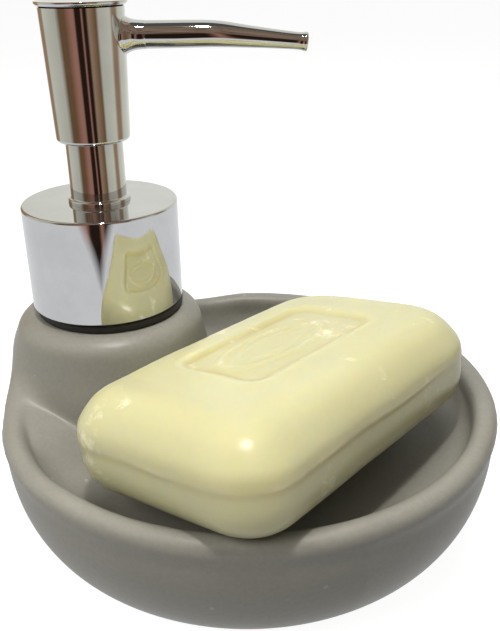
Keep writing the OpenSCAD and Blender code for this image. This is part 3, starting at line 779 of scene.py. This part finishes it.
def pale_table():
    """Pale to the eye, a tone darker in the chrome, and throwing little light back"""
    mat, tree, bsdf, _ = new_material("pale_table", Roughness=0.8, Base_Color=colour("#8a8a88"),
                                      Emission_Color=colour("#ffffff"), Emission_Strength=0.93)
    path = add(tree, "ShaderNodeLightPath")
    dim = add(tree, "ShaderNodeBsdfDiffuse", Color=colour("#6a6863"))
    shown = add(tree, "ShaderNodeEmission", Color=colour("#f0f1f2"), Strength=1.0)
    once = add(tree, "ShaderNodeMixShader", n0=path.outputs["Is Diffuse Ray"], n1=bsdf.outputs["BSDF"],
               n2=dim.outputs["BSDF"])
    both = add(tree, "ShaderNodeMixShader", n0=path.outputs["Is Glossy Ray"], n1=once.outputs["Shader"],
               n2=shown.outputs["Emission"])
    tree.links.new(both.outputs["Shader"], tree.nodes["Material Output"].inputs["Surface"])
    bm = bmesh.new()
    bmesh.ops.create_grid(bm, x_segments=1, y_segments=1, size=TABLE_HALF,
                          matrix=Matrix.Translation(TABLE_PLACE))
    staged(bm, "table", mat)


def card_material():
    """Pale walls, brown doorways and a dark gap at the camera, in upright bands round the pump"""
    mat = bpy.data.materials.new("surround_card")
    mat.use_nodes = True
    tree = mat.node_tree
    tree.nodes.clear()
    place = add(tree, "ShaderNodeTexCoord").outputs["Object"]
    split = add(tree, "ShaderNodeSeparateXYZ", Vector=place)
    x = add(tree, "ShaderNodeMath", {"operation": "SUBTRACT"}, n0=split.outputs["X"], n1=PUMP_X)
    y = add(tree, "ShaderNodeMath", {"operation": "SUBTRACT"}, n0=split.outputs["Y"], n1=PUMP_Y)
    back = add(tree, "ShaderNodeMath", {"operation": "MULTIPLY"}, n0=y.outputs["Value"], n1=-1.0)
    # Bearing from the line to the camera, 11 degrees right of -Y: 0 and 1 behind the pump, 0.5 at the camera
    to_camera = 0.19
    angle = add(tree, "ShaderNodeMath", {"operation": "ARCTAN2"}, n0=x.outputs["Value"],
                n1=back.outputs["Value"])
    share = add(tree, "ShaderNodeMapRange", Value=angle.outputs["Value"], From_Min=-math.pi + to_camera,
                From_Max=math.pi + to_camera, To_Min=0.0, To_Max=1.0)
    wavy = add(tree, "ShaderNodeTexNoise", Vector=place, Scale=per_mm(200), Detail=2.0)
    shake = add(tree, "ShaderNodeMapRange", Value=wavy.outputs["Fac"], From_Min=0.0, From_Max=1.0,
                To_Min=-0.012, To_Max=0.012)
    bearing = add(tree, "ShaderNodeMath", {"operation": "ADD"}, n0=share.outputs["Result"],
                  n1=shake.outputs["Result"]).outputs["Value"]
    white, pale, grey, brown, rose = "#eeeee6", "#d8d7c8", "#c6c5b8", "#74583f", "#a9796a"
    dark, tan = "#2a1d16", "#a2876f"
    bands = add(tree, "ShaderNodeValToRGB", stops=[
        (0.0, white), (0.055, pale), (0.07, tan), (0.14, tan), (0.165, pale), (0.29, grey), (0.325, brown),
        (0.37, brown), (0.415, rose), (0.437, rose), (0.45, dark), (0.485, dark), (0.497, rose), (0.51, dark),
        (0.53, dark), (0.545, tan), (0.6, brown), (0.62, grey), (0.71, pale), (0.735, tan), (0.77, tan),
        (0.8, pale), (0.92, white), (1.0, white)], Fac=bearing)
    # Higher up the side towards the camera is a plain streaky brown, which the top of the spout picks up
    streaks = add(tree, "ShaderNodeTexNoise", Vector=place, Scale=30.0, Detail=3.0)
    brownish = add(tree, "ShaderNodeValToRGB", stops=[(0.35, "#5d4a3b"), (0.65, "#a08c7a")],
                   Fac=streaks.outputs["Fac"])
    towards = add(tree, "ShaderNodeValToRGB", Fac=bearing,
                  stops=[(0.25, "#000000"), (0.33, "#ffffff"), (0.67, "#ffffff"), (0.75, "#000000")])
    high = add(tree, "ShaderNodeMapRange", Value=split.outputs["Z"], From_Min=0.15, From_Max=0.2,
               To_Min=0.0, To_Max=1.0)
    upper = add(tree, "ShaderNodeMath", {"operation": "MULTIPLY"}, n0=towards.outputs["Color"],
                n1=high.outputs["Result"])
    shade = add(tree, "ShaderNodeMix", {"data_type": "RGBA"}, Factor=upper.outputs["Value"],
                A=bands.outputs["Color"], B=brownish.outputs["Color"])
    glow = add(tree, "ShaderNodeEmission", Color=shade.outputs["Result"], Strength=1.1)
    # On the table only the dark gap at the camera runs in towards the pump, as a painted shadow: a tongue
    # that narrows
    gap, narrowing = 0.474, 1.5
    flat = add(tree, "ShaderNodeCombineXYZ", X=x.outputs["Value"], Y=y.outputs["Value"])
    reach = add(tree, "ShaderNodeVectorMath", {"operation": "LENGTH"}, n0=flat.outputs["Vector"])
    off = add(tree, "ShaderNodeMath", {"operation": "SUBTRACT"}, n0=bearing, n1=gap)
    away = add(tree, "ShaderNodeMath", {"operation": "ABSOLUTE"}, n0=off.outputs["Value"])
    spread = add(tree, "ShaderNodeMath", {"operation": "MULTIPLY"}, n0=away.outputs["Value"], n1=narrowing)
    length = add(tree, "ShaderNodeMath", {"operation": "SUBTRACT"}, n0=reach.outputs["Value"],
                 n1=spread.outputs["Value"])
    painted_shadow = add(tree, "ShaderNodeMapRange", Value=length.outputs["Value"], From_Min=0.165, From_Max=0.215,
                 To_Min=0.0, To_Max=1.0)
    standing = add(tree, "ShaderNodeMath", {"operation": "GREATER_THAN"}, n0=split.outputs["Z"], n1=0.002)
    seen = add(tree, "ShaderNodeMath", {"operation": "MAXIMUM"}, n0=painted_shadow.outputs["Result"],
               n1=standing.outputs["Value"])
    clear = add(tree, "ShaderNodeBsdfTransparent")
    card = add(tree, "ShaderNodeMixShader", n0=seen.outputs["Value"], n1=clear.outputs["BSDF"],
               n2=glow.outputs["Emission"])
    add(tree, "ShaderNodeOutputMaterial", Surface=card.outputs["Shader"])
    return mat


def surround():
    """A ring of card round the set and a flat one on the table with a painted shadow on it, seen only in the
    chrome
    """
    bm = bmesh.new()
    bmesh.ops.create_cone(bm, cap_ends=False, segments=96, radius1=CARD_R, radius2=CARD_R, depth=CARD_HEIGHT,
                          matrix=Matrix.Translation((PUMP_X, PUMP_Y, CARD_HEIGHT / 2)))
    edge = [bm.verts.new((PUMP_X + r, PUMP_Y, CARD_LIFT)) for r in (CARD_HOLE, CARD_R)]
    line = bm.edges.new(edge)
    bmesh.ops.spin(bm, geom=edge + [line], cent=(PUMP_X, PUMP_Y, 0), axis=(0, 0, 1), angle=math.tau,
                   steps=96, use_merge=True)
    ring = staged(bm, "surround", card_material())
    ring.visible_camera = ring.visible_diffuse = ring.visible_shadow = False


def studio_world():
    """A pale wall to the camera, and a weak fill for the set"""
    world = bpy.data.worlds.new("studio")
    bpy.context.scene.world = world
    world.use_nodes = True
    tree = world.node_tree
    fill = tree.nodes["Background"]
    fill.inputs["Color"].default_value = colour("#f7f6f4")
    fill.inputs["Strength"].default_value = 0.12
    shown = add(tree, "ShaderNodeBackground", Color=colour("#f4f4f3"), Strength=1.0)
    path = add(tree, "ShaderNodeLightPath")
    both = add(tree, "ShaderNodeMixShader", n0=path.outputs["Is Camera Ray"], n1=fill.outputs["Background"],
               n2=shown.outputs["Background"])
    tree.links.new(both.outputs["Shader"], tree.nodes["World Output"].inputs["Surface"])


def softbox(name, place, size, power, tint):
    """A round light aimed at the dish; only the smallest shows in the chrome, as a lamp"""
    lamp_size = 0.1
    light = bpy.data.lights.new(name, "AREA")
    light.shape, light.size, light.energy, light.color = "DISK", size, power, colour(tint)[:3]
    lamp = bpy.data.objects.new(name, light)
    lamp.location = place
    lamp.rotation_mode = "QUATERNION"
    lamp.rotation_quaternion = (Vector(LIT_PLACE) - Vector(place)).to_track_quat("-Z", "Y")
    lamp.visible_glossy = size < lamp_size
    bpy.context.scene.collection.objects.link(lamp)


def studio():
    """The set: table, card, world and lights"""
    pale_table()
    surround()
    studio_world()
    softbox("lamp", (-0.01, -0.13, 0.46), 0.03, 0.9, "#fffaf4")
    softbox("overhead", (0.03, 0.05, 0.7), 0.4, 2.8, "#ffffff")
    softbox("window", (-0.35, -0.35, 0.5), 0.3, 2.2, "#fffefa")
    softbox("fill", (0.02, -0.5, 0.6), 0.3, 0.6, "#fffefa")
    bpy.context.scene.view_settings.view_transform = "Standard"


studio()
